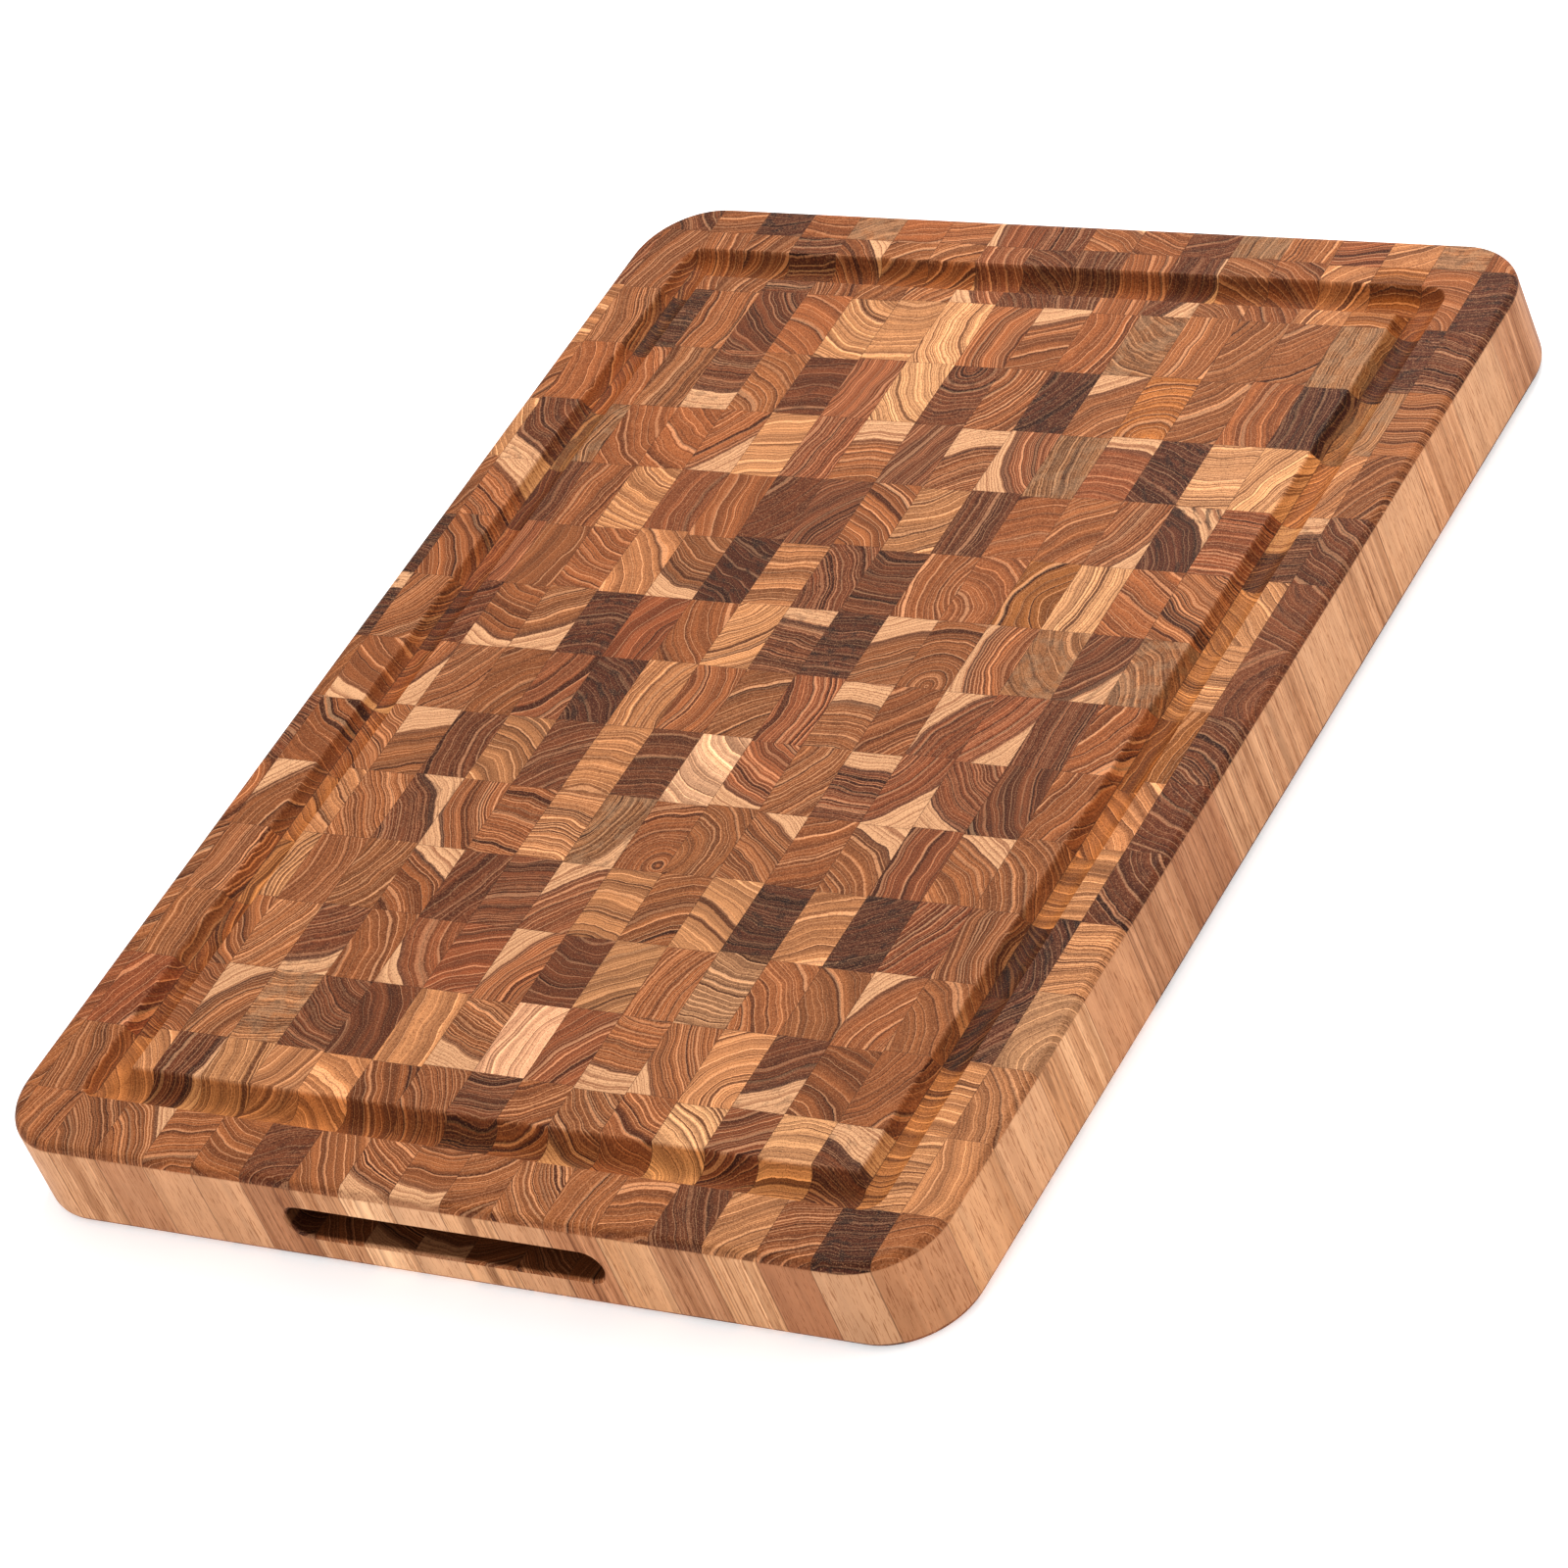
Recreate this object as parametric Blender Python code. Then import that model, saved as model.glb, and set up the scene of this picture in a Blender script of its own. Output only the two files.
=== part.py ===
"""End-grain cutting board: nineteen glued hardwood strips, a juice groove and two finger grips.

The board is one glued block of strips that lie side by side across X and run along Y.
The top and bottom faces are end grain, so the wood's fibres stand along Z.
Units are metres, +Z is up, and the origin is the centre of the underside.
"""

import math

import bmesh
import bpy
from mathutils import Matrix

# Whole board
LENGTH = 0.508              # along Y, 20 in
WIDTH = 0.381               # along X, 15 in
THICKNESS = 0.038           # along Z, 1.5 in
CORNER_RADIUS = 0.030       # the four corners, seen from above
EDGE_RADIUS = 0.0038        # rounding round the top and bottom faces

# Glue-up: the strips have one width, and the two outer ones are trimmed to the board's width
STRIP_PITCH = 0.02096
FIRST_STRIP = 0.008         # what the trim leaves of the first strip
GLUE_GAP = 0.0003

# Juice groove, cut with a ball-nosed tool
GROOVE_MARGIN = 0.025       # from the board's side to the groove's outer rim
GROOVE_TOOL_RADIUS = 0.008
GROOVE_DEPTH = 0.006
CORNER_DWELL = 0.00015      # the tool turns in each corner and cuts this much wider there

# Finger grips, one slot in the middle of each short side
GRIP_LENGTH = 0.130
GRIP_HEIGHT = 0.013
GRIP_DEPTH = 0.019

# Facets
CORNER_SEGMENTS = 8
EDGE_SEGMENTS = 3
TOOL_SEGMENTS = 24
OVERRUN = 0.020             # how far a cutter reaches past the surface that it cuts

WOOD_TONES = (
    (0.300, 0.160, 0.075),
    (0.380, 0.215, 0.110),
    (0.240, 0.120, 0.055),
)
WOOD_ROUGHNESS = 0.48


def clear_scene():
    for thing in list(bpy.data.objects):
        bpy.data.objects.remove(thing, do_unlink=True)


def new_collection(name):
    group = bpy.data.collections.new(name)
    bpy.context.scene.collection.children.link(group)
    return group


def add_object(name, mesh_data, group):
    thing = bpy.data.objects.new(name, mesh_data)
    group.objects.link(thing)
    return thing


def as_cutter(thing):
    thing.hide_render = True
    thing.display_type = "WIRE"
    return thing


def mesh_from(name, bm):
    mesh_data = bpy.data.meshes.new(name)
    bmesh.ops.recalc_face_normals(bm, faces=bm.faces)
    bm.to_mesh(mesh_data)
    bm.free()
    return mesh_data


def box_mesh(name, size):
    bm = bmesh.new()
    bmesh.ops.create_cube(bm, size=1.0)
    bmesh.ops.scale(bm, vec=size, verts=bm.verts)
    return mesh_from(name, bm)


def blank_mesh():
    """The glued blank: a slab with round corners and softened top and bottom edges."""
    bm = bmesh.new()
    bmesh.ops.create_cube(bm, size=1.0)
    bmesh.ops.scale(bm, vec=(WIDTH, LENGTH, THICKNESS), verts=bm.verts)
    upright = [edge for edge in bm.edges if abs(edge.verts[0].co.z - edge.verts[1].co.z) > THICKNESS / 2]
    bmesh.ops.bevel(bm, geom=upright, offset=CORNER_RADIUS, segments=CORNER_SEGMENTS,
                    profile=0.5, affect="EDGES")
    rims = [edge for edge in bm.edges if abs(edge.verts[0].co.z - edge.verts[1].co.z) < EDGE_RADIUS]
    bmesh.ops.bevel(bm, geom=rims, offset=EDGE_RADIUS, segments=EDGE_SEGMENTS,
                    profile=0.5, affect="EDGES")
    return mesh_from("blank", bm)


def stadium_mesh(name, length, height, depth):
    """A slot cutter with round ends: long along X, `height` along Z, `depth` along Y."""
    half_step = math.pi / TOOL_SEGMENTS
    bm = bmesh.new()
    bmesh.ops.create_cone(bm, cap_ends=True, segments=TOOL_SEGMENTS, depth=depth,
                          radius1=height / 2 / math.cos(half_step), radius2=height / 2 / math.cos(half_step),
                          matrix=Matrix.Rotation(half_step, 4, "Z"))
    straight = length - height
    for vert in bm.verts:
        vert.co.x += math.copysign(straight / 2, vert.co.x)
    bmesh.ops.rotate(bm, matrix=Matrix.Rotation(math.pi / 2, 3, "X"), verts=bm.verts)
    return mesh_from(name, bm)


def cut(target, cutter, operation="DIFFERENCE"):
    boolean = target.modifiers.new(cutter.name, "BOOLEAN")
    boolean.operation = operation
    boolean.solver = "EXACT"
    boolean.object = cutter


def groove_runs():
    """Half the span between the middles of opposite runs, across X and along Y."""
    half_width = math.sqrt(GROOVE_TOOL_RADIUS ** 2 - (GROOVE_TOOL_RADIUS - GROOVE_DEPTH) ** 2)
    inset = GROOVE_MARGIN + half_width
    return WIDTH / 2 - inset, LENGTH / 2 - inset


def groove_cutters(group):
    """Four round bars along the groove and a ball in each corner, where the tool turns."""
    half_x, half_y = groove_runs()
    height = THICKNESS - GROOVE_DEPTH + GROOVE_TOOL_RADIUS
    cutters = []
    # The runs along Y are turned half a facet, so that no two facet edges meet at a mitre.
    half_step = math.pi / TOOL_SEGMENTS
    for side in (-1, 1):
        for axis, turn, place, span in (("Y", 0.0, (0.0, side * half_y, height), 2 * half_x),
                                        ("X", half_step, (side * half_x, 0.0, height), 2 * half_y)):
            bm = bmesh.new()
            lay_down = Matrix.Rotation(math.pi / 2, 4, axis) @ Matrix.Rotation(turn, 4, "Z")
            bmesh.ops.create_cone(bm, cap_ends=True, segments=TOOL_SEGMENTS, depth=span,
                                  radius1=GROOVE_TOOL_RADIUS, radius2=GROOVE_TOOL_RADIUS,
                                  matrix=lay_down)
            run = add_object(f"groove_run_{len(cutters)}", mesh_from("groove_run", bm), group)
            run.location = place
            cutters.append(as_cutter(run))
        for end in (-1, 1):
            bm = bmesh.new()
            bmesh.ops.create_uvsphere(bm, u_segments=TOOL_SEGMENTS, v_segments=TOOL_SEGMENTS // 2,
                                      radius=GROOVE_TOOL_RADIUS + CORNER_DWELL)
            ball = add_object(f"groove_corner_{len(cutters)}", mesh_from("groove_corner", bm), group)
            ball.location = (side * half_x, end * half_y, height)
            cutters.append(as_cutter(ball))
    return cutters


def grip_cutters(group):
    """One slot for the fingers in each short side, half way up it."""
    cutters = []
    for side in (-1, 1):
        slot = stadium_mesh("grip_slot", GRIP_LENGTH, GRIP_HEIGHT, GRIP_DEPTH + OVERRUN)
        grip = add_object("grip_slot_near" if side < 0 else "grip_slot_far", slot, group)
        floor = side * (LENGTH / 2 - GRIP_DEPTH)
        grip.location = (0.0, floor + side * (GRIP_DEPTH + OVERRUN) / 2, THICKNESS / 2)
        cutters.append(as_cutter(grip))
    return cutters


def finished_form(group):
    """The whole board as one shape, which each strip is cut from."""
    form = add_object("board_form", blank_mesh(), group)
    form.location.z = THICKNESS / 2
    for cutter in groove_cutters(group) + grip_cutters(group):
        cut(form, cutter)
    return as_cutter(form)


def glue_lines():
    """Where the strips meet, and the board's two long sides, from -X to +X."""
    lines = [-WIDTH / 2]
    line = -WIDTH / 2 + FIRST_STRIP
    while line < WIDTH / 2:
        lines.append(line)
        line += STRIP_PITCH
    lines.append(WIDTH / 2)
    return lines


def wood_material(name, tone):
    material = bpy.data.materials.new(name)
    material.use_nodes = True
    shader = material.node_tree.nodes["Principled BSDF"]
    shader.inputs["Base Color"].default_value = (*tone, 1.0)
    shader.inputs["Roughness"].default_value = WOOD_ROUGHNESS
    shader.inputs["Metallic"].default_value = 0.0
    return material


def strip(number, left, right, form, group):
    """One glued strip of end-grain blocks, from one glue line to the next."""
    low = left + GLUE_GAP / 2 if left > -WIDTH / 2 else left - OVERRUN
    high = right - GLUE_GAP / 2 if right < WIDTH / 2 else right + OVERRUN
    name = f"strip_{number:02d}"
    stave = box_mesh(name, (high - low, LENGTH + 2 * OVERRUN, THICKNESS + 2 * OVERRUN))
    piece = add_object(name, stave, group)
    piece.location = ((low + high) / 2, 0.0, THICKNESS / 2)
    piece.data.materials.append(wood_material(name, WOOD_TONES[number % len(WOOD_TONES)]))
    cut(piece, form, "INTERSECT")
    return piece


def main():
    clear_scene()
    board = new_collection("cutting_board")
    cutters = new_collection("cutters")
    form = finished_form(cutters)
    lines = glue_lines()
    for number, (left, right) in enumerate(zip(lines, lines[1:]), start=1):
        strip(number, left, right, form, board)


main()
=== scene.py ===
import math
import random

import bmesh
import bpy
from mathutils import Matrix, Vector


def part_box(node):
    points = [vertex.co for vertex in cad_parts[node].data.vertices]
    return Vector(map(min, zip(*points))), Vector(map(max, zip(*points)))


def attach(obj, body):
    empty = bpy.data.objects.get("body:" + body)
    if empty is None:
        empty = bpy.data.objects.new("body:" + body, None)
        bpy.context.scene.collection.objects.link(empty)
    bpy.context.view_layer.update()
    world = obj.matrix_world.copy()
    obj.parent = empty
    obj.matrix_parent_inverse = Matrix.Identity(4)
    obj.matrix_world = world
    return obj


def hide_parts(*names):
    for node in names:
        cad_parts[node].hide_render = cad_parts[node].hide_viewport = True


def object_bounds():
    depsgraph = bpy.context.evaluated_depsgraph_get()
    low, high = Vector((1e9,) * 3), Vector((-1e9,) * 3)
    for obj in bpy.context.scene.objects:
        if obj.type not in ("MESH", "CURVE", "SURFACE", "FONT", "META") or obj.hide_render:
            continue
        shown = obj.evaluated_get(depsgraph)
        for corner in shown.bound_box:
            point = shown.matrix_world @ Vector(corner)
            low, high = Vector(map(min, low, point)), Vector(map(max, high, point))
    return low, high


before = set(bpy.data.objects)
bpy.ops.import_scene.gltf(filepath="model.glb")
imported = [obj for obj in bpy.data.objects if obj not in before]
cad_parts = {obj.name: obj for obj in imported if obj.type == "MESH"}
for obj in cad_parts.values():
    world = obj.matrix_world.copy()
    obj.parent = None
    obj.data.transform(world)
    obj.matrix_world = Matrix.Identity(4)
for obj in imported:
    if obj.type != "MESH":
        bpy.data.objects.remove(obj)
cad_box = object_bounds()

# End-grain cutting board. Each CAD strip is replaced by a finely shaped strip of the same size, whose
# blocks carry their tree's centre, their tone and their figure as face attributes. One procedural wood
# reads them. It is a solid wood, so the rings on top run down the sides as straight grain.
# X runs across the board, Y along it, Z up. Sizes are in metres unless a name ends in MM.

LOW, HIGH = (tuple(corner) for corner in cad_box)
WIDTH = HIGH[0] - LOW[0]
LENGTH = HIGH[1] - LOW[1]
THICKNESS = HIGH[2] - LOW[2]
STRIPS = sorted(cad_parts)

CORNER_RADIUS = 0.030
EDGE_RADIUS = 0.0038
CORNER_STEPS = 40
EDGE_STEPS = 8

GROOVE_MARGIN = 0.025
GROOVE_TOOL_RADIUS = 0.008
GROOVE_DEPTH = 0.006
GROOVE_RIM = 0.0005
GROOVE_STEPS = 12
RIM_STEPS = 3

GRIP_LENGTH = 0.130
GRIP_HEIGHT = 0.013
GRIP_DEPTH = 0.019
GRIP_LIP = 0.0014
GRIP_FLOOR_RADIUS = 0.0030
GRIP_STEPS = 12
GRIP_EDGE_STEPS = 6

GLUE_GAP = 0.0003           # between the CAD strips
GLUE_LINE = 0.00005         # between the strips made here
ROWS = 16
FAR_ROW = 0.0156            # the farthest row is cut short by the board's end
BLOCK_LENGTH = 0.0333
JOG = 0.0009                # how far a joint may lie out of line with its neighbours

MM = 1000.0                 # millimetres in a metre
WELD_DISTANCE = 1e-6
CUT_TOLERANCE = 1e-7
ON_SURFACE = 1e-5           # a point this close to a surface counts as on it
SHARP_ANGLE = math.radians(32)
FIRST_SEED = 1000

# The groove's cross-section: a round nose that meets the top in a small rim. The rim's circle touches
# both the top and the nose, which fixes where its centre is.
NOSE_BELOW_RIM = GROOVE_TOOL_RADIUS - GROOVE_DEPTH + GROOVE_RIM
RIM_CENTRE = math.sqrt((GROOVE_TOOL_RADIUS + GROOVE_RIM) ** 2 - NOSE_BELOW_RIM ** 2)
RUN_X = WIDTH / 2 - GROOVE_MARGIN - RIM_CENTRE
RUN_Y = LENGTH / 2 - GROOVE_MARGIN - RIM_CENTRE


def quarter(steps):
    """Angles from 0 to 90 degrees."""
    return [math.pi / 2 * step / steps for step in range(steps + 1)]


def rounded_ring(half_x, half_y, radius, steps):
    """Points once round a rounded rectangle, anticlockwise from +X. Radius 0 gives square corners."""
    points = []
    for turn, (side_x, side_y) in enumerate(((1, 1), (-1, 1), (-1, -1), (1, -1))):
        for angle in quarter(steps):
            around = angle + turn * math.pi / 2
            points.append((side_x * (half_x - radius) + radius * math.cos(around),
                           side_y * (half_y - radius) + radius * math.sin(around)))
    return points


def loft(rings):
    """A closed skin through rings with equal counts of points, with a flat face on each end."""
    bm = bmesh.new()
    rows = [[bm.verts.new(point) for point in ring] for ring in rings]
    for row, following in zip(rows, rows[1:]):
        for index in range(len(row)):
            ahead = (index + 1) % len(row)
            bm.faces.new((row[index], row[ahead], following[ahead], following[index]))
    bm.faces.new(reversed(rows[0]))
    bm.faces.new(rows[-1])
    bmesh.ops.remove_doubles(bm, verts=bm.verts, dist=WELD_DISTANCE)
    bmesh.ops.recalc_face_normals(bm, faces=bm.faces)
    return bm


def groove_section():
    """(distance out from the groove's middle line, height) from the outer rim to the inner rim."""
    rim_turn = math.acos(NOSE_BELOW_RIM / (GROOVE_TOOL_RADIUS + GROOVE_RIM))
    centre_height = THICKNESS - GROOVE_DEPTH + GROOVE_TOOL_RADIUS
    half = []
    for step in range(RIM_STEPS):
        angle = rim_turn * step / RIM_STEPS
        half.append((RIM_CENTRE - GROOVE_RIM * math.sin(angle),
                     THICKNESS - GROOVE_RIM * (1 - math.cos(angle))))
    for step in range(GROOVE_STEPS + 1):
        angle = rim_turn * (1 - step / GROOVE_STEPS)
        half.append((GROOVE_TOOL_RADIUS * math.sin(angle),
                     centre_height - GROOVE_TOOL_RADIUS * math.cos(angle)))
    return half + [(-out, height) for out, height in reversed(half[:-1])]


def board_skin():
    """The board without its grips: rings from the underside, up the side, in and through the groove."""
    rings = []

    def ring(half_x, half_y, radius, height):
        rings.append([(x, y, height) for x, y in rounded_ring(half_x, half_y, radius, CORNER_STEPS)])

    for angle in quarter(EDGE_STEPS):
        inset = EDGE_RADIUS * (1 - math.sin(angle))
        height = EDGE_RADIUS * (1 - math.cos(angle))
        ring(WIDTH / 2 - inset, LENGTH / 2 - inset, CORNER_RADIUS - inset, height)
    for angle in quarter(EDGE_STEPS):
        inset = EDGE_RADIUS * (1 - math.cos(angle))
        height = THICKNESS - EDGE_RADIUS * (1 - math.sin(angle))
        ring(WIDTH / 2 - inset, LENGTH / 2 - inset, CORNER_RADIUS - inset, height)
    for out, height in groove_section():
        ring(RUN_X + out, RUN_Y + out, max(out, 0.0), height)
    return loft(rings)


def grip_tool(side):
    """The cutter of one finger grip: a slot with round ends, a soft lip and a round-edged floor."""
    mouth = side * LENGTH / 2
    rings = []

    def ring(swell, depth):
        half_x = GRIP_LENGTH / 2 + swell
        half_z = GRIP_HEIGHT / 2 + swell
        rings.append([(x, mouth - side * depth, z + THICKNESS / 2)
                      for x, z in rounded_ring(half_x, half_z, half_z, GRIP_STEPS)])

    # The first ring lies outside the board, so that the tool cuts right through the side
    lip = quarter(GRIP_EDGE_STEPS)[1:]
    ring(GRIP_LIP * (1 - math.sin(lip[0])), -GRIP_LIP)
    for angle in lip:
        ring(GRIP_LIP * (1 - math.sin(angle)), GRIP_LIP * (1 - math.cos(angle)))
    for angle in quarter(GRIP_EDGE_STEPS):
        ring(-GRIP_FLOOR_RADIUS * (1 - math.cos(angle)),
             GRIP_DEPTH - GRIP_FLOOR_RADIUS * (1 - math.sin(angle)))
    return loft(rings)


def object_from(bm, name):
    mesh = bpy.data.meshes.new(name)
    bm.to_mesh(mesh)
    bm.free()
    thing = bpy.data.objects.new(name, mesh)
    bpy.context.scene.collection.objects.link(thing)
    return thing


def evaluated_mesh(thing):
    depsgraph = bpy.context.evaluated_depsgraph_get()
    return bpy.data.meshes.new_from_object(thing.evaluated_get(depsgraph))


def remove(thing):
    mesh = thing.data
    bpy.data.objects.remove(thing, do_unlink=True)
    bpy.data.meshes.remove(mesh)


def whole_board():
    """The whole board as one mesh with both grips cut in, which every strip is taken from."""
    board = object_from(board_skin(), "whole_board")
    tools = [object_from(grip_tool(side), "grip_tool") for side in (-1, 1)]
    for tool in tools:
        cut = board.modifiers.new(tool.name, "BOOLEAN")
        cut.operation = "DIFFERENCE"
        cut.solver = "EXACT"
        cut.object = tool
    mesh = evaluated_mesh(board)
    for thing in [board] + tools:
        remove(thing)
    return mesh


# ---------------------------------------------------------------- strips and blocks

def cut_away(bm, x, keep_right):
    """Cuts a mesh at a plane across X, drops one side and closes the cut."""
    everything = list(bm.verts) + list(bm.edges) + list(bm.faces)
    result = bmesh.ops.bisect_plane(bm, geom=everything, dist=CUT_TOLERANCE, plane_co=(x, 0, 0),
                                    plane_no=(1, 0, 0), clear_inner=keep_right, clear_outer=not keep_right)
    rim = [part for part in result["geom_cut"] if isinstance(part, bmesh.types.BMEdge)]
    bmesh.ops.holes_fill(bm, edges=rim, sides=0)


def score(bm, y):
    """Splits the faces along a plane across Y and keeps both sides: a glue joint between two blocks."""
    everything = list(bm.verts) + list(bm.edges) + list(bm.faces)
    bmesh.ops.bisect_plane(bm, geom=everything, dist=CUT_TOLERANCE, plane_co=(0, y, 0), plane_no=(0, 1, 0))


def block_joints(rng):
    """Where the blocks of one strip meet, from the far end. Each joint is a little out of line."""
    joints = []
    for row in range(ROWS - 1):
        joints.append(LENGTH / 2 - FAR_ROW - row * BLOCK_LENGTH + rng.uniform(-JOG, JOG))
    return joints


# ---------------------------------------------------------------- the cut list

# One line for each row of blocks, from the far end (+Y), and in it one word for each strip, from -X to
# +X. A word's four letters are:
# - the tone, as TONES names it, in capitals where the block's outer side is pale sapwood
# - where the tree's centre lies, as on a clock seen from above, with 12 o'clock (c) at the far end
# - how far off that centre is: n near, m middle, f far, so that the rings are nearly straight
# - the width of the rings: f fine, m middle, w wide
CUT_LIST = (
    "m3fm d2fm mcfm kcmm mcmw g5fm mcfw Mcff R3mm d9mm M7fm m1mm dbmm g3mm m9mm rcmm lbmw gcff m9fm",
    "r4fm m4ff m3fm m4fm dcfm M8mm m5mw m5mm R2mm d7mm d3fm m9fm Damm m7mm m7mm l4mw o6mm m6nm kcff",
    "lcfw m9ff kcff m9fm d1mm m7mw l1mm lcmw s3mf m3mf M5fw m9mw g1mm m9fm mamw mbmw g3ff kcmm dcff",
    "m4fm m9mw m8mm m9ff Dcmf m7mm d6mw r9ff s2mf dcnm mamm kamw M5mm o6nm mbmw m3mw k9ff g9mf mcff",
    "l2fm D1mm g3mm m2mw m1fw Mafm l6fm r9ff M6mm d4ff M5mf R2mf g3ff R6mm k7fm scff s4ff l4ff m4mm",
    "m4fm M7ff d9fm m3fm l1mm r3mw m3fw damw d4mf m7mm lbmm d9fm m5mw m5mm Mamf K8mm r6fm D5mf d1fm",
    "kcff m8mm r9ff m9mw m1mm l8mw M1mf k7fw l6fm d8mf dcmm m3mm m7nm o4nw s9ff m1fm m1ff l7fm d1mm",
    "K6mf mamf dbfm M1fw Mbfm k6mm r4mw m2mw lbmf D6ff k6ff M5ff m6nm M3mf g2mw Damm g8mm lcff d4nw",
    "m4fw M1mw Mamf mamf m4mw ramw k7mm l3mm m9mm m5mm r9mm M6mf m5fm R4mm Raff d3ff mamw o3fw d7mm",
    "d7ff m1mw m7ff M5ff d3mm l7mw d5mm l6mm d6mw w1mw R1mf mamf R6ff Ramm R1mf d2mm mafw l7fw d1mw",
    "m9nm M4mw l1fm m8ff D8mf M2mf m6ff l6mf Gamf m5nm m8nm M7ff mbfw M7mm r3fw M7mm m8mm l6fw d1mw",
    "mbfm m9ff l3mm m9mf mamm M7mm dafw d6ff R5mm l6mm m5mm l7fw kcmf l5mw kbff rafm m3mf k8mm l6ff",
    "mbfm m3fm m2mm mamf Dbmm m8mw R2mw r5mm M4mf dcmw l5fm m3mf pcmm m8mm m8mw M4mm m8mw k4ff p4nw",
    "r5fw r4fw m7ff M4mf gcff d1mf d8mw l9fw M1ff w3mw r4mm Mcmf M2ff l5nm Dbfm m7mw mamw l6fw l8mm",
    "mafm m9ff l8mw D9fm l9fm lamm l7mw m8fw m8mf dcmf mbmm M1mf m1mm s7mm r5fm s6mm D7ff l6fm l9mw",
    "m4fm m3ff m8mf M8mf m6fm m1mw d5mm m2fw M1mf Mcmm mbmm m2mf m3mm m6mw d2fm l5mm m5mm k6ff m5mw",
)


def srgb(red, green, blue):
    """A colour as seen on a screen, 0 to 255, as linear light."""
    return tuple(((part / 255 + 0.055) / 1.055) ** 2.4 for part in (red, green, blue))


TONES = {
    "m": srgb(147, 86, 48),     # middle brown
    "r": srgb(138, 75, 43),     # red-brown
    "d": srgb(108, 57, 32),     # dark brown
    "k": srgb(86, 43, 26),      # chocolate
    "l": srgb(184, 124, 80),    # light tan
    "p": srgb(176, 126, 88),    # pale grey-brown
    "s": srgb(206, 150, 104),   # sapwood
    "w": srgb(226, 172, 134),   # nearly white sapwood
    "g": srgb(148, 98, 62),     # grey-stained
    "o": srgb(162, 97, 46),     # amber
}

# How strong blotches and pale ring lines are in the tones that aren't like the rest
BLOTCHED = {"d": 0.45, "k": 1.0, "g": 0.5, "r": 0.15, "m": 0.1}
LINE_STRENGTH = {"k": 0.45, "d": 0.75}

# The cut list's other letters
REACH_MM = {"n": 17.0, "m": 42.0, "f": 130.0}
PITCH_MM = {"f": 1.35, "m": 2.2, "w": 3.6}
CLOCK = "0123456789abc"
CLOCK_STEP = 30             # degrees from one hour to the next
NO_SAPWOOD_MM = 10000.0
FAR_OUTSIDE = 2             # times the distance from the board's middle to its side

# How much blocks of one kind differ: the lowest and highest of each value
OFF_HOUR_DEGREES = (-12, 12)
REACH_FACTOR = (0.88, 1.12)
PITCH_FACTOR = (0.9, 1.1)
LIGHTNESS_FACTOR = (0.78, 1.20)
COOLNESS_FACTOR = (0.91, 1.03)
COOLING_POWERS = (0, 1, 1.5)        # how strongly coolness acts on red, green and blue
SAPWOOD_AFTER_MM = (5.0, 10.0)
LINE_FACTOR = (0.6, 1.0)
RING_CONTRAST = (0.85, 1.0)
RING_WAVE = (0.2, 1.0)
BAND_STRENGTH = (0.45, 1.0)

# Colours that every tone of wood shares
PALE_LINE = srgb(242, 190, 142)
SAPWOOD = srgb(220, 165, 120)
LATE_SAPWOOD = srgb(142, 84, 52)
SAPWOOD_BORDER = srgb(84, 54, 40)
SAPWOOD_SIDE = srgb(220, 170, 128)
PALE_STAIN = srgb(188, 144, 106)
DARK_STAIN = srgb(92, 66, 50)
BLOTCH = srgb(42, 25, 20)
FLECK = srgb(226, 168, 120)
PALE_SIDE = srgb(210, 162, 121)
DARK_SIDE = srgb(142, 82, 49)
GLUE = srgb(70, 40, 24)

# Tints, which a colour is multiplied by. The bands have a dark one and a light one.
END_GRAIN_BANDS = ((0.58, 0.50, 0.43), (1.24, 1.21, 1.12))
SIDE_BANDS = ((0.76, 0.66, 0.56), (1.12, 1.12, 1.10))
SIDE_TINT = (0.95, 0.92, 0.86)
LATE_WOOD_TINT = (0.20, 0.13, 0.10)
PALE_LINE_TINT = (2.3, 2.2, 2.1)
PORE_TINT = (0.34, 0.26, 0.22)
STREAK_TINT = (0.42, 0.32, 0.25)
VEIN_TINT = (0.55, 0.44, 0.35)
DASH_TINT = (0.50, 0.38, 0.29)
# Painted shade on the rounded edges
ROUNDED_EDGE_SHADE_TINT = (0.50, 0.43, 0.40)
OIL_TINT = (0.86, 0.68, 0.40)
# Painted shade on the groove's walls, with some oil darkening
GROOVE_WALL_OIL_AND_SHADE_TINT = (0.42, 0.33, 0.24)
# Scorch and painted shade inside the finger grips
SCORCH_AND_SHADE_TINT = (0.24, 0.17, 0.12)

# Figure
FIBRE_STRETCH = 0.05        # fibres run along Z, so the noise hardly changes with height
RING_BEND_MM = 5.0
RING_RIPPLE_MM = 0.9
RING_UNEVENNESS = 2.4       # in rings
OWN_SHADE_SHARE = 0.82      # a side's colour is its own shade and for the rest its end grain's tone

# Glue lines, as the half-widths that they fade out at and are full at
SIDE_GLUE_MM = 0.36
END_GLUE_MM = 0.22
GLUE_CORE_MM = 0.05
GLUE_STRENGTH = 0.50

# Finish. Roughness adds up, and relief is a share of its depth.
SIDE_ROUGHNESS = 0.42
END_GRAIN_DULLNESS = 0.10
GRIT_DULLNESS = 0.16
SPECULAR_LEVEL = 0.08
RELIEF_DEPTH = 0.001
RELIEF_STRENGTH = 0.8
PORE_RELIEF = 0.06
GLUE_RELIEF = 0.03

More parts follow.
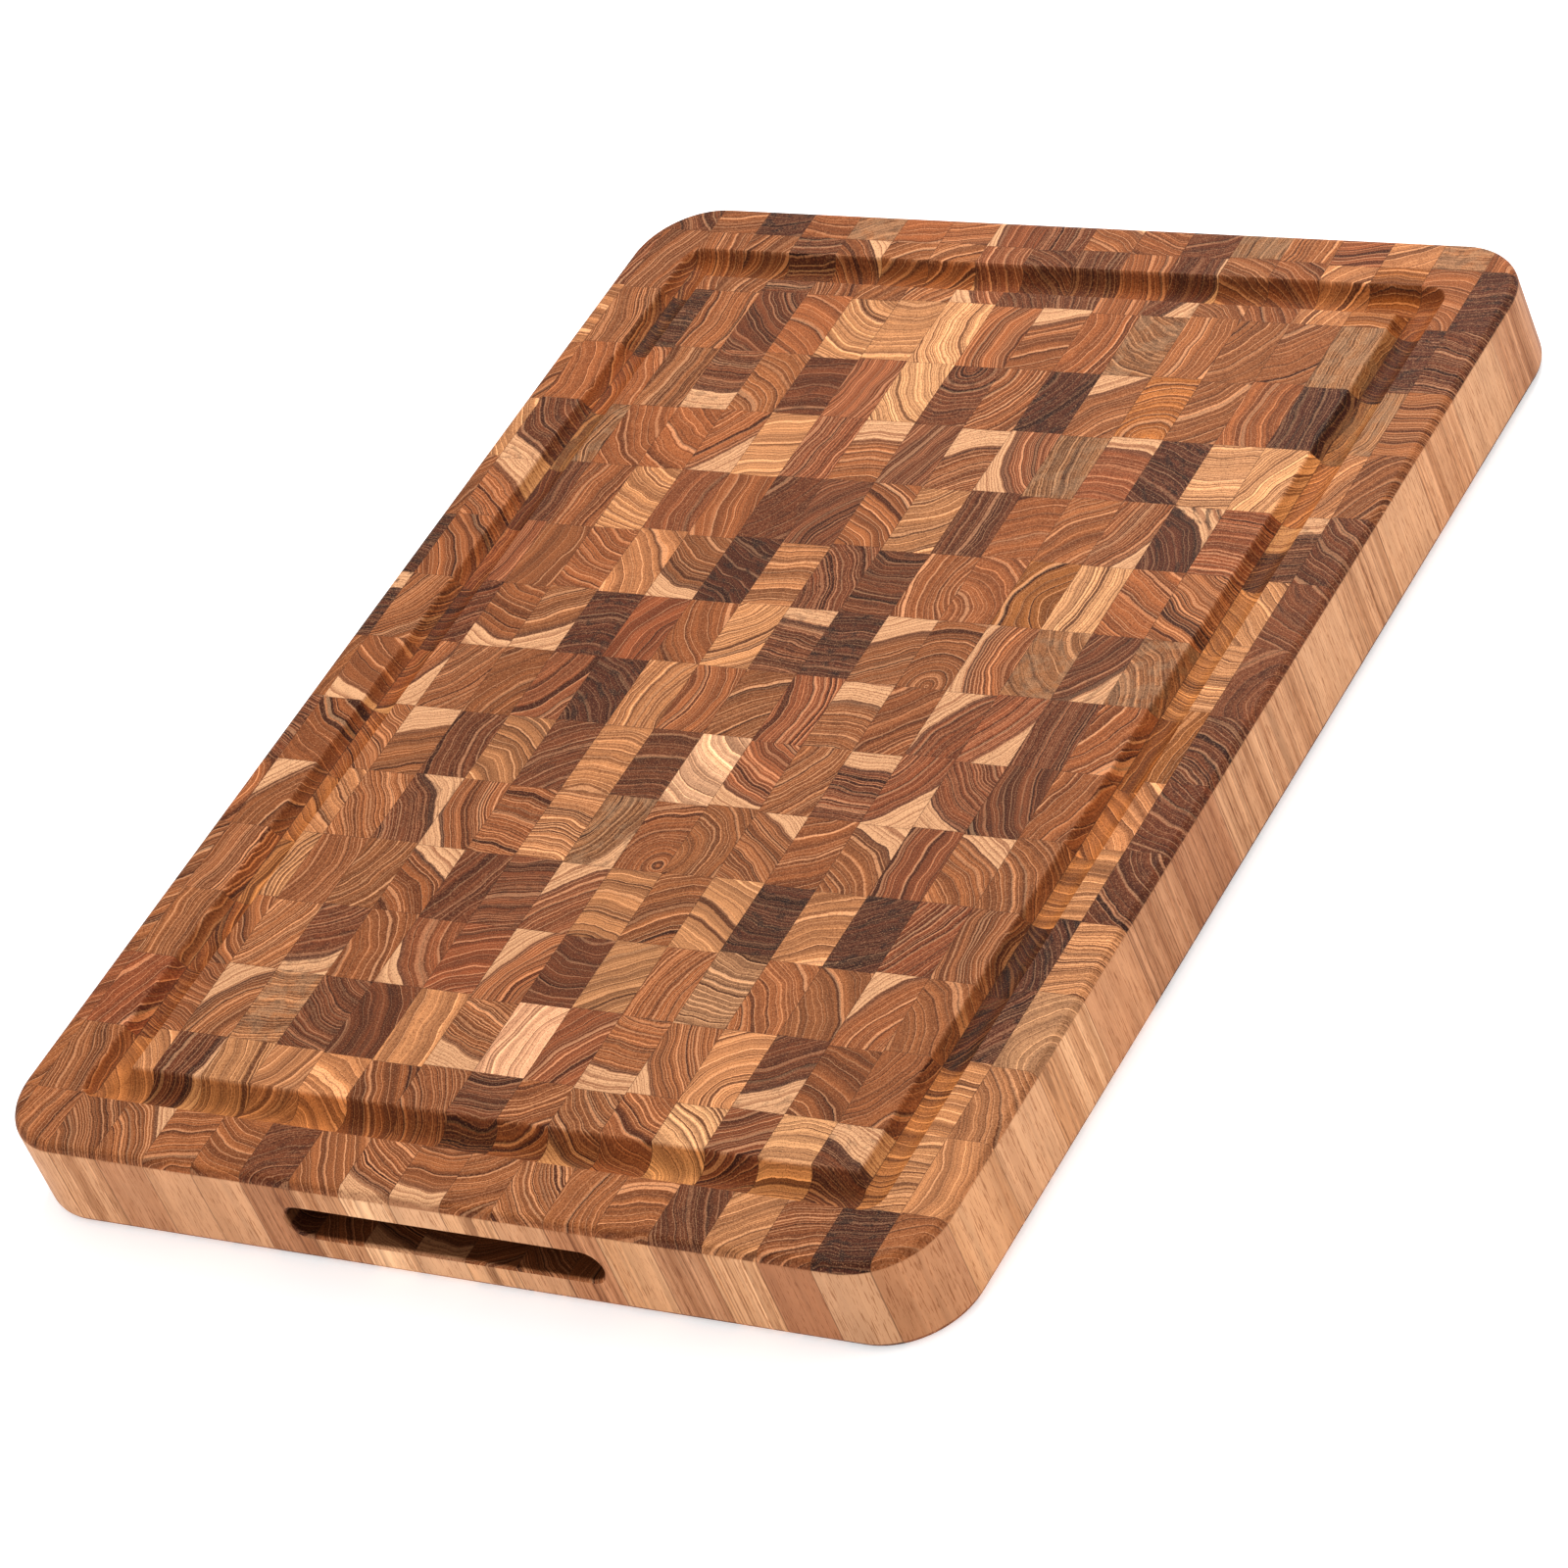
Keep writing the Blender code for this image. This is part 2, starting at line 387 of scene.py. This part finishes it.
# The long grain of the blocks along the near side, from -X, and along the right side, from the far end.
# The digit is the shade, 0 palest to DARKEST. The letter is p for plain or s for streaked.
NEAR_SIDE = "3s 2p 3s 5p 3p 3p 6s 3s 0s 7p 1s 3p 6s 0s 5s 1s 7p 3p 4p"
RIGHT_SIDE = "7p 5s 2p 3s 2p 3s 2p 3s 3s 6s 5s 5p 2s 2p 1s 5p"
DARKEST = 9
STREAKS = {"p": 0.4, "s": 1.0}


def block_figure(word, long_grain, centre, rng):
    """What the wood of one block looks like, as the values of the face attributes."""
    first, hour, reach, pitch = word
    tone = first.lower()
    degrees = CLOCK_STEP * CLOCK.index(hour) + rng.uniform(*OFF_HOUR_DEGREES)
    distance = REACH_MM[reach] * rng.uniform(*REACH_FACTOR)
    pith = (centre[0] * MM + distance * math.sin(math.radians(degrees)),
            centre[1] * MM + distance * math.cos(math.radians(degrees)),
            PITCH_MM[pitch] * rng.uniform(*PITCH_FACTOR))
    lighter = rng.uniform(*LIGHTNESS_FACTOR)
    cooler = rng.uniform(*COOLNESS_FACTOR)
    shade = [part * lighter * cooler ** power for part, power in zip(TONES[tone], COOLING_POWERS)]
    sapwood = distance + rng.uniform(*SAPWOOD_AFTER_MM) if first.isupper() else NO_SAPWOOD_MM
    stain = 1.0 if tone == "g" else 0.0
    shade_digit, streaks = long_grain
    pale_lines = rng.uniform(*LINE_FACTOR) * LINE_STRENGTH.get(tone, 1.0)
    return {
        "pith": pith,
        "tone": (*shade, 1.0),
        "figure": (rng.uniform(*RING_CONTRAST), pale_lines, rng.uniform(*RING_WAVE)),
        "nature": (rng.random(), sapwood, stain),
        "spots": (BLOTCHED.get(tone, 0.0), rng.uniform(*BAND_STRENGTH), 0.0),
        "long_grain": (int(shade_digit) / DARKEST, STREAKS[streaks], 0.0),
    }


# Each holds three numbers. What needs only two has 0 as its third.
FACE_VECTORS = ("pith", "figure", "nature", "spots", "long_grain", "low", "high")


def long_grains(number, rng):
    """The long grain of a strip's blocks, from the far end: as listed where it shows, else by chance."""
    grains = [f"{rng.randint(1, 6)}{rng.choice('ps')}" for _ in range(ROWS)]
    grains[-1] = NEAR_SIDE.split()[number]
    return RIGHT_SIDE.split() if number == len(STRIPS) - 1 else grains


def joint_place(place, size):
    """A block's bound in millimetres. A side of the board is no joint, so its bound is put far outside."""
    on_side = abs(place) > size / 2 - ON_SURFACE
    return place * MM * (FAR_OUTSIDE if on_side else 1)


def paint_blocks(mesh, left, right, joints, words, grains, rng):
    """Gives every face of a strip the figure of the block that it is part of."""
    edges = [LENGTH / 2] + joints + [-LENGTH / 2]
    figures = []
    for far, near, word, grain in zip(edges, edges[1:], words, grains):
        figure = block_figure(word, grain, ((left + right) / 2, (far + near) / 2), rng)
        figure["low"] = (joint_place(left, WIDTH), joint_place(near, LENGTH), 0.0)
        figure["high"] = (joint_place(right, WIDTH), joint_place(far, LENGTH), 0.0)
        figures.append(figure)
    rows = [sum(face.center.y < joint for joint in joints) for face in mesh.polygons]
    for name in FACE_VECTORS:
        values = mesh.attributes.new(name, "FLOAT_VECTOR", "FACE").data
        for value, row in zip(values, rows):
            value.vector = figures[row][name]
    tones = mesh.attributes.new("tone", "FLOAT_COLOR", "FACE").data
    for value, row in zip(tones, rows):
        value.color = figures[row]["tone"]


def mark_cuts(mesh):
    """Point attributes that say how deep a point is in the groove and in a finger grip, 0 to 1."""
    # Both are made before either is filled, because a new attribute can move the data of older ones
    mesh.attributes.new("groove", "FLOAT", "POINT")
    mesh.attributes.new("grip", "FLOAT", "POINT")
    groove = mesh.attributes["groove"].data
    grip = mesh.attributes["grip"].data
    grip_top = THICKNESS / 2 + GRIP_HEIGHT / 2 + GRIP_LIP
    for index, vertex in enumerate(mesh.vertices):
        x, y, z = vertex.co
        within_rim = abs(x) < RUN_X + RIM_CENTRE and abs(y) < RUN_Y + RIM_CENTRE
        if within_rim and z > THICKNESS - GROOVE_DEPTH - ON_SURFACE:
            groove[index].value = (THICKNESS - z) / GROOVE_DEPTH
        if abs(x) < GRIP_LENGTH / 2 + GRIP_LIP and THICKNESS - grip_top < z < grip_top:
            grip[index].value = (LENGTH / 2 - abs(y)) / GRIP_DEPTH


# ---------------------------------------------------------------- wood

class Graph:
    """The nodes of one material, with a short call for each kind of node."""

    def __init__(self, name):
        self.material = bpy.data.materials.new(name)
        self.material.use_nodes = True
        self.nodes = self.material.node_tree.nodes
        self.links = self.material.node_tree.links
        self.shader = self.nodes["Principled BSDF"]

    def feed(self, socket, value):
        if isinstance(value, bpy.types.NodeSocket):
            self.links.new(value, socket)
        elif socket.type == "RGBA":
            socket.default_value = (*value, 1.0)
        else:
            socket.default_value = value

    def math(self, operation, first, second=0.0, third=0.5):
        """A sum on numbers. A MULTIPLY_ADD gives first times second plus third."""
        node = self.nodes.new("ShaderNodeMath")
        node.operation = operation
        for socket, value in zip(node.inputs, (first, second, third)):
            self.feed(socket, value)
        return node.outputs[0]

    def total(self, first, *others):
        for other in others:
            first = self.math("ADD", first, other)
        return first

    def product(self, first, *others):
        for other in others:
            first = self.math("MULTIPLY", first, other)
        return first

    def vector(self, operation, first, second=(0.0, 0.0, 0.0)):
        node = self.nodes.new("ShaderNodeVectorMath")
        node.operation = operation
        self.feed(node.inputs[0], first)
        self.feed(node.inputs[1], second)
        return node.outputs["Value" if operation == "LENGTH" else "Vector"]

    def split(self, vector):
        node = self.nodes.new("ShaderNodeSeparateXYZ")
        self.feed(node.inputs[0], vector)
        return node.outputs

    def join(self, x, y, z):
        node = self.nodes.new("ShaderNodeCombineXYZ")
        for socket, value in zip(node.inputs, (x, y, z)):
            self.feed(socket, value)
        return node.outputs[0]

    def grey(self, value):
        return self.join(value, value, value)

    def attribute(self, name, output="Vector"):
        node = self.nodes.new("ShaderNodeAttribute")
        node.attribute_name = name
        return node.outputs[output]

    def fade(self, value, start, end):
        """0 at start, 1 at end, with a soft step between."""
        node = self.nodes.new("ShaderNodeMapRange")
        node.interpolation_type = "SMOOTHSTEP"
        self.feed(node.inputs["Value"], value)
        self.feed(node.inputs["From Min"], start)
        self.feed(node.inputs["From Max"], end)
        return node.outputs["Result"]

    def noise(self, place, scale, detail, roughness):
        node = self.nodes.new("ShaderNodeTexNoise")
        node.noise_dimensions = "3D"
        self.feed(node.inputs["Vector"], place)
        self.feed(node.inputs["Scale"], scale)
        self.feed(node.inputs["Detail"], detail)
        self.feed(node.inputs["Roughness"], roughness)
        return node.outputs["Fac"]

    def spread(self, noise, width):
        """A noise moved to lie round zero and stretched."""
        return self.product(self.math("SUBTRACT", noise, 0.5), width)

    def noise_along(self, value, scale, detail=1.0):
        """Noise that changes only with one number."""
        node = self.nodes.new("ShaderNodeTexNoise")
        node.noise_dimensions = "1D"
        self.feed(node.inputs["W"], value)
        self.feed(node.inputs["Scale"], scale)
        self.feed(node.inputs["Detail"], detail)
        return node.outputs["Fac"]

    def chance(self, value):
        """A number from 0 to 1 that differs for every value."""
        node = self.nodes.new("ShaderNodeTexWhiteNoise")
        node.noise_dimensions = "1D"
        self.feed(node.inputs["W"], value)
        return node.outputs["Value"]

    def mix(self, factor, first, second, blend="MIX"):
        node = self.nodes.new("ShaderNodeMix")
        node.data_type = "RGBA"
        node.blend_type = blend
        self.feed(node.inputs[0], factor)
        self.feed(node.inputs[6], first)
        self.feed(node.inputs[7], second)
        return node.outputs[2]

    def tint(self, colour, other):
        """A colour times another colour."""
        return self.mix(1.0, colour, other, "MULTIPLY")

    def shade(self, amount, colour, other):
        """A colour moved part of the way to its tint."""
        return self.mix(amount, colour, self.tint(colour, other))


class Wood:
    """The numbers that the wood's colours share, in millimetres. Each block has noise of its own."""

    def __init__(self, g):
        self.read_block(g)
        self.read_place(g)
        self.add_rings(g)

    def read_block(self, g):
        """What the block's face attributes say."""
        self.low_x, self.low_y, _ = g.split(g.attribute("low"))
        self.high_x, self.high_y, _ = g.split(g.attribute("high"))
        self.seed, self.sapwood_from, self.stain = g.split(g.attribute("nature"))
        self.contrast, self.pale_strength, self.wave = g.split(g.attribute("figure"))
        self.blotches, self.band_strength, _ = g.split(g.attribute("spots"))
        self.long_shade, self.streaked, _ = g.split(g.attribute("long_grain"))
        self.pith_x, self.pith_y, self.pitch = g.split(g.attribute("pith"))
        self.tone = g.attribute("tone", "Color")

    def read_place(self, g):
        """Where a point is, how its surface faces, and the noise there."""
        self.groove = g.attribute("groove", "Fac")
        self.grip = g.attribute("grip", "Fac")
        texture_place = g.nodes.new("ShaderNodeTexCoord").outputs["Object"]
        place = g.vector("MULTIPLY", texture_place, (MM, MM, MM))
        self.x, self.y, _ = g.split(place)
        along_fibres = g.vector("MULTIPLY", place, (1.0, 1.0, FIBRE_STRETCH))
        # The seed times a large number moves the noise to a part of its own in each block
        offset = g.join(g.product(self.seed, 410.0), g.product(self.seed, 770.0), self.seed)
        self.own = g.vector("ADD", along_fibres, offset)
        normal = g.nodes.new("ShaderNodeNewGeometry").outputs["Normal"]
        self.facing = g.math("ABSOLUTE", g.split(normal)[2])
        self.grit = self.noise_up(g, 0.6, scale=2.1, detail=3.0, roughness=0.70)

    def noise_up(self, g, rise, **numbers):
        """The block's own noise. It changes faster with height where rise is over 1."""
        return g.noise(g.vector("MULTIPLY", self.own, (1.0, 1.0, rise)), **numbers)

    def add_rings(self, g):
        """Growth rings round the tree's centre, bent a little and of unequal widths."""
        bend = g.spread(g.noise(self.own, scale=0.07, detail=1.0, roughness=0.4), RING_BEND_MM)
        ripple = g.spread(g.noise(self.own, scale=0.40, detail=2.0, roughness=0.5), RING_RIPPLE_MM)
        from_x = g.math("SUBTRACT", self.x, self.pith_x)
        from_y = g.math("SUBTRACT", self.y, self.pith_y)
        away = g.vector("LENGTH", g.join(from_x, from_y, 0.0))
        self.radius = g.total(away, bend, g.product(ripple, self.wave))
        self.into_sapwood = g.math("SUBTRACT", self.radius, self.sapwood_from)
        even = g.total(g.math("DIVIDE", self.radius, self.pitch), g.product(self.seed, 57.0))
        turn = g.total(even, g.spread(g.noise_along(even, scale=0.5), RING_UNEVENNESS))
        ring = g.math("FLOOR", turn)
        self.phase = g.math("FRACT", turn)
        self.before_next = g.product(g.math("SUBTRACT", 1.0, self.phase), self.pitch)
        self.luck = g.chance(g.total(ring, g.product(self.seed, 31.0)))
        self.other_luck = g.chance(g.total(ring, g.math("MULTIPLY_ADD", self.seed, 17.0, 900.0)))
        self.character = g.chance(g.product(self.seed, 29.0))
        self.across = g.math("MULTIPLY_ADD", self.seed, 70.0, self.radius)
        band_place = g.math("MULTIPLY_ADD", self.seed, 91.0, self.radius)
        self.bands = g.noise_along(band_place, scale=0.17, detail=2.0)


def banded(g, wood, colour, start, end, tints):
    """A colour in wide dark and light bands that follow the rings."""
    dark, light = (g.tint(colour, tint) for tint in tints)
    return g.mix(g.fade(wood.bands, start, end), dark, light)


def heartwood(g, wood):
    """The block's tone in wide bands, with clouds and with hairlines along the rings."""
    bands = banded(g, wood, wood.tone, 0.30, 0.68, END_GRAIN_BANDS)
    colour = g.mix(wood.band_strength, wood.tone, bands)
    clouds = g.spread(g.noise(wood.own, scale=0.12, detail=3.0, roughness=0.6), 0.5)
    hairlines = g.spread(g.noise_along(wood.across, scale=1.9, detail=2.0), 1.10)
    return g.tint(colour, g.grey(g.total(clouds, hairlines, 1.0)))


def add_late_wood(g, wood, colour):
    """Each ring darkens to a sharp edge. Some blocks also have a few rings that end as dark as ink."""
    edge_strength = g.math("MULTIPLY_ADD", wood.luck, 0.70, 0.30)
    edge = g.product(g.fade(wood.before_next, 0.62, 0.20), edge_strength)
    ink = g.product(g.fade(wood.before_next, 1.3, 0.7), g.fade(wood.luck, 0.84, 0.90),
                    g.fade(wood.character, 0.45, 0.60))
    late = g.math("MAXIMUM", g.math("MAXIMUM", edge, ink), g.product(wood.phase, 0.32))
    return g.shade(g.product(late, wood.contrast), colour, LATE_WOOD_TINT)


def add_pale_lines(g, wood, colour):
    """A pale line starts each ring, stronger in some rings than in others."""
    start = g.fade(g.product(wood.phase, wood.pitch), 0.42, 0.26)
    end = g.fade(wood.before_next, 0.10, 0.01)
    ring_strength = g.math("POWER", wood.other_luck, 0.6)
    line = g.product(g.math("MAXIMUM", start, end), ring_strength, wood.pale_strength, 0.90)
    bright = g.mix(0.42, g.tint(colour, PALE_LINE_TINT), PALE_LINE)
    return g.mix(line, colour, bright)


def add_sapwood(g, wood, colour):
    """Pale sapwood outside a certain ring, behind a dark line."""
    border = g.product(g.fade(wood.into_sapwood, -3.5, 0.0), g.fade(wood.into_sapwood, 0.6, 0.0), 0.55)
    colour = g.mix(border, colour, SAPWOOD_BORDER)
    late = g.product(g.math("POWER", wood.phase, 2.2), 0.85)
    return g.mix(g.fade(wood.into_sapwood, 0.0, 0.5), colour, g.mix(late, SAPWOOD, LATE_SAPWOOD))


def add_stains(g, wood, colour):
    """Grey stain in a few blocks, and near-black blotches that follow the rings in the dark ones."""
    patches = g.fade(g.noise(wood.own, scale=0.15, detail=3.0, roughness=0.6), 0.44, 0.58)
    grey = g.mix(wood.bands, DARK_STAIN, PALE_STAIN)
    colour = g.mix(g.product(wood.stain, patches, 0.44), colour, grey)
    along_rings = g.join(g.product(wood.radius, 2.0), wood.x, wood.seed)
    blotches = g.fade(g.noise(along_rings, scale=0.17, detail=3.0, roughness=0.6), 0.51, 0.64)
    return g.mix(g.product(blotches, wood.blotches, 0.75), colour, BLOTCH)


def add_pores(g, wood, colour):
    """Fine dark pores and pale flecks."""
    pores = g.fade(wood.grit, 0.50, 0.66)
    flecks = g.fade(wood.grit, 0.46, 0.32)
    colour = g.shade(g.product(pores, 0.85), colour, PORE_TINT)
    return g.mix(g.product(flecks, 0.30), colour, FLECK)


def end_grain_colour(g, wood):
    """The cut ends of the fibres, which the top and the underside show."""
    colour = heartwood(g, wood)
    for add in (add_late_wood, add_pale_lines, add_sapwood, add_stains, add_pores):
        colour = add(g, wood, colour)
    return colour


def block_side(g, wood):
    """The side of a block: a shade of its own, banded where the block is a streaked one."""
    own = g.mix(wood.long_shade, PALE_SIDE, DARK_SIDE)
    plain = g.mix(OWN_SHADE_SHARE, g.tint(wood.tone, SIDE_TINT), own)
    bands = banded(g, wood, plain, 0.30, 0.70, SIDE_BANDS)
    colour = g.mix(wood.streaked, plain, bands)
    return g.mix(g.product(g.fade(wood.into_sapwood, 0.0, 0.5), 0.7), colour, SAPWOOD_SIDE)


def add_streaks(g, wood, colour):
    """Dark lines and veins down the streaked blocks, where their rings come out."""
    ring_ends = g.product(g.math("POWER", wood.phase, 6.0), g.math("POWER", wood.luck, 1.5))
    colour = g.shade(g.product(ring_ends, wood.streaked, 0.85), colour, STREAK_TINT)
    veins = g.fade(g.noise_along(wood.across, scale=0.75, detail=2.0), 0.60, 0.68)
    return g.shade(g.product(veins, wood.streaked, 0.60), colour, VEIN_TINT)


def add_fibres(g, wood, colour):
    """Soft unevenness along the fibres, and pores cut lengthwise, which show as short dark dashes."""
    fibres = wood.noise_up(g, 1.2, scale=1.9, detail=3.0, roughness=0.65)
    streaks = g.spread(g.noise_along(wood.across, scale=1.2, detail=3.0), 0.9)
    clouds = g.spread(wood.noise_up(g, 8.0, scale=0.12, detail=2.0, roughness=0.5), 0.35)
    uneven = g.total(g.spread(fibres, 0.36), g.product(streaks, wood.streaked), clouds, 1.0)
    colour = g.tint(colour, g.grey(uneven))
    dashes = g.product(g.fade(fibres, 0.53, 0.63), 0.85)
    return g.shade(dashes, colour, DASH_TINT)


def side_colour(g, wood):
    """Long grain. Some blocks are nearly plain, others are streaked."""
    return add_fibres(g, wood, add_streaks(g, wood, block_side(g, wood)))


def end_grain_mask(g, wood):
    """1 where the end grain shows: on the flat faces, on most of their rounded edges and in the groove."""
    return g.math("MAXIMUM", g.fade(wood.facing, 0.22, 0.36), g.fade(wood.groove, 0.02, 0.10))


def glue_mask(g, wood, end_grain):
    """1 on a glue line, which is a hair wider on the sides than on the end grain."""
    nearest = []
    for place, low, high in ((wood.x, wood.low_x, wood.high_x), (wood.y, wood.low_y, wood.high_y)):
        nearest.append(g.math("MINIMUM", g.math("SUBTRACT", place, low), g.math("SUBTRACT", high, place)))
    half_width = g.math("MULTIPLY_ADD", end_grain, END_GLUE_MM - SIDE_GLUE_MM, SIDE_GLUE_MM)
    return g.fade(g.math("MINIMUM", *nearest), half_width, GLUE_CORE_MM)


def shade_rounded_edges(g, wood, colour):
    """The rounded edges, where the end grain rolls over, get painted shade: they are darker than the faces.
    """
    # Painted shade on the rounding between the top and the sides
    rolled_shade = g.product(g.fade(wood.facing, 0.16, 0.34), g.fade(wood.facing, 0.98, 0.70),
                       g.fade(wood.groove, 0.02, 0.0))
    return g.shade(g.product(rolled_shade, 0.50), colour, ROUNDED_EDGE_SHADE_TINT)


def colour_cuts(g, wood, colour):
    """Oil gathers in the groove and gives it an amber tint. Its steep walls are darker still: painted
    shade, with some oil darkening. The grips darken with depth: scorch and painted shade.
    """
    in_groove = g.fade(wood.groove, 0.02, 0.30)
    colour = g.shade(g.product(in_groove, 0.85), colour, OIL_TINT)
    # Painted shade on the groove's steep walls, with some oil darkening
    walls = g.product(in_groove, g.fade(wood.facing, 0.97, 0.55))
    colour = g.shade(g.product(walls, 0.32), colour, GROOVE_WALL_OIL_AND_SHADE_TINT)
    # Darker deeper in each grip: scorch from the cutter with painted shade
    scorch_and_shade = g.fade(wood.grip, 0.0, 0.09)
    return g.shade(g.product(scorch_and_shade, 0.92), colour, SCORCH_AND_SHADE_TINT)


def add_relief(g, wood, glue):
    """Pores and glue lines lie a little below the surface."""
    bump = g.nodes.new("ShaderNodeBump")
    g.feed(bump.inputs["Distance"], RELIEF_DEPTH)
    g.feed(bump.inputs["Strength"], RELIEF_STRENGTH)
    relief = g.total(g.product(wood.grit, -PORE_RELIEF), g.product(glue, -GLUE_RELIEF))
    g.feed(bump.inputs["Height"], relief)
    g.feed(g.shader.inputs["Normal"], bump.outputs["Normal"])


def board_wood():
    """Oiled end-grain hardwood: one solid wood for every block, read from the face attributes."""
    g = Graph("end_grain_wood")
    wood = Wood(g)
    end_grain = end_grain_mask(g, wood)
    glue = glue_mask(g, wood, end_grain)
    colour = g.mix(end_grain, side_colour(g, wood), end_grain_colour(g, wood))
    colour = colour_cuts(g, wood, shade_rounded_edges(g, wood, colour))
    g.feed(g.shader.inputs["Base Color"], g.mix(g.product(glue, GLUE_STRENGTH), colour, GLUE))
    # Oil soaks into the open end grain, so it is duller than the sides
    dull = g.math("MULTIPLY_ADD", end_grain, END_GRAIN_DULLNESS, SIDE_ROUGHNESS)
    g.feed(g.shader.inputs["Roughness"], g.math("MULTIPLY_ADD", wood.grit, GRIT_DULLNESS, dull))
    g.feed(g.shader.inputs["Specular IOR Level"], SPECULAR_LEVEL)
    add_relief(g, wood, glue)
    return g.material


# ---------------------------------------------------------------- making the strips

def make_strip(node, number, board, wood):
    """The fine strip that stands for one CAD strip."""
    rng = random.Random(FIRST_SEED + number)
    low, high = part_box(node)
    left = LOW[0] if number == 0 else low[0] - GLUE_GAP / 2 + GLUE_LINE / 2
    right = HIGH[0] if number == len(STRIPS) - 1 else high[0] + GLUE_GAP / 2 - GLUE_LINE / 2
    joints = block_joints(rng)
    words = [row.split()[number] for row in CUT_LIST]
    bm = bmesh.new()
    bm.from_mesh(board)
    if number > 0:
        cut_away(bm, left, True)
    if number < len(STRIPS) - 1:
        cut_away(bm, right, False)
    for joint in joints:
        score(bm, joint)
    strip = object_from(bm, f"{node}_blocks")
    mesh = strip.data
    paint_blocks(mesh, left, right, joints, words, long_grains(number, rng), rng)
    mark_cuts(mesh)
    mesh.materials.append(wood)
    mesh.shade_smooth()
    mesh.set_sharp_from_angle(angle=SHARP_ANGLE)
    weighted = strip.modifiers.new("weighted_normal", "WEIGHTED_NORMAL")
    weighted.keep_sharp = True
    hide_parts(node)
    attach(strip, "root")


def make_board():
    board = whole_board()
    wood = board_wood()
    for number, node in enumerate(STRIPS):
        make_strip(node, number, board, wood)
    bpy.data.meshes.remove(board)


# ---------------------------------------------------------------- floor, light and camera

FLOOR_SIZE = 20.0
FLOOR_DROP = 0.0002         # the floor lies this far under the board
FLOOR_WHITE = 0.92
FLOOR_ROUGHNESS = 0.9
FLOOR_GLOW = 0.35
SKY_STRENGTH = 0.74

CAMERA_AZIMUTH = 44.13
CAMERA_ELEVATION = 37.23
CAMERA_ROLL = -24.33
CAMERA_DISTANCE = 2.317
CAMERA_LENS_MM = 152.8
CAMERA_SENSOR_MM = 36.0
CAMERA_TARGET = (0.0127, -0.0295, 0.019)
CLIP_END = 100.0


def floor_material():
    """White paper that glows a little, so that it stays white to the horizon."""
    g = Graph("studio_floor")
    g.feed(g.shader.inputs["Base Color"], (FLOOR_WHITE, FLOOR_WHITE, FLOOR_WHITE))
    g.feed(g.shader.inputs["Roughness"], FLOOR_ROUGHNESS)
    g.feed(g.shader.inputs["Emission Color"], (1.0, 1.0, 1.0))
    g.feed(g.shader.inputs["Emission Strength"], FLOOR_GLOW)
    return g.material


def make_floor():
    bm = bmesh.new()
    bmesh.ops.create_grid(bm, x_segments=1, y_segments=1, size=FLOOR_SIZE)
    floor = object_from(bm, "floor")
    floor.location.z = -FLOOR_DROP
    floor.data.materials.append(floor_material())


def look_at(thing, target, roll=0.0):
    """Turns a camera or a lamp to face a point, then rolls it about that line, in degrees."""
    toward = Vector(target) - thing.location
    turn = toward.to_track_quat("-Z", "Y").to_matrix().to_4x4()
    facing = Matrix.Translation(thing.location) @ turn
    thing.matrix_world = facing @ Matrix.Rotation(math.radians(roll), 4, "Z")


def direction(azimuth, elevation):
    """A unit vector from the board: azimuth 0 is towards -Y and 90 is towards +X."""
    flat = math.cos(math.radians(elevation))
    return Vector((flat * math.sin(math.radians(azimuth)), -flat * math.cos(math.radians(azimuth)),
                   math.sin(math.radians(elevation))))


def make_light(name, azimuth, elevation, distance, size, power):
    light = bpy.data.lights.new(name, "AREA")
    light.shape = "DISK"
    light.size = size
    light.energy = power
    lamp = bpy.data.objects.new(name, light)
    bpy.context.scene.collection.objects.link(lamp)
    lamp.location = direction(azimuth, elevation) * distance
    look_at(lamp, (0.0, 0.0, 0.0))


def make_camera():
    camera = bpy.data.cameras.new("camera")
    camera.lens = CAMERA_LENS_MM
    camera.sensor_width = CAMERA_SENSOR_MM
    camera.clip_end = CLIP_END
    eye = bpy.data.objects.new("camera", camera)
    bpy.context.scene.collection.objects.link(eye)
    eye.location = Vector(CAMERA_TARGET) + direction(CAMERA_AZIMUTH, CAMERA_ELEVATION) * CAMERA_DISTANCE
    look_at(eye, CAMERA_TARGET, CAMERA_ROLL)
    bpy.context.scene.camera = eye


def make_studio():
    world = bpy.data.worlds.new("studio")
    world.use_nodes = True
    sky = world.node_tree.nodes["Background"]
    sky.inputs["Color"].default_value = (1.0, 1.0, 1.0, 1.0)
    sky.inputs["Strength"].default_value = SKY_STRENGTH
    bpy.context.scene.world = world
    bpy.context.scene.view_settings.view_transform = "Standard"
    make_floor()
    make_light("back_key", azimuth=-172, elevation=46, distance=1.7, size=1.0, power=24)
    make_light("near_fill", azimuth=-12, elevation=14, distance=3.0, size=2.0, power=41)
    make_light("right_fill", azimuth=104, elevation=14, distance=2.8, size=2.0, power=39)


make_board()
make_studio()
make_camera()
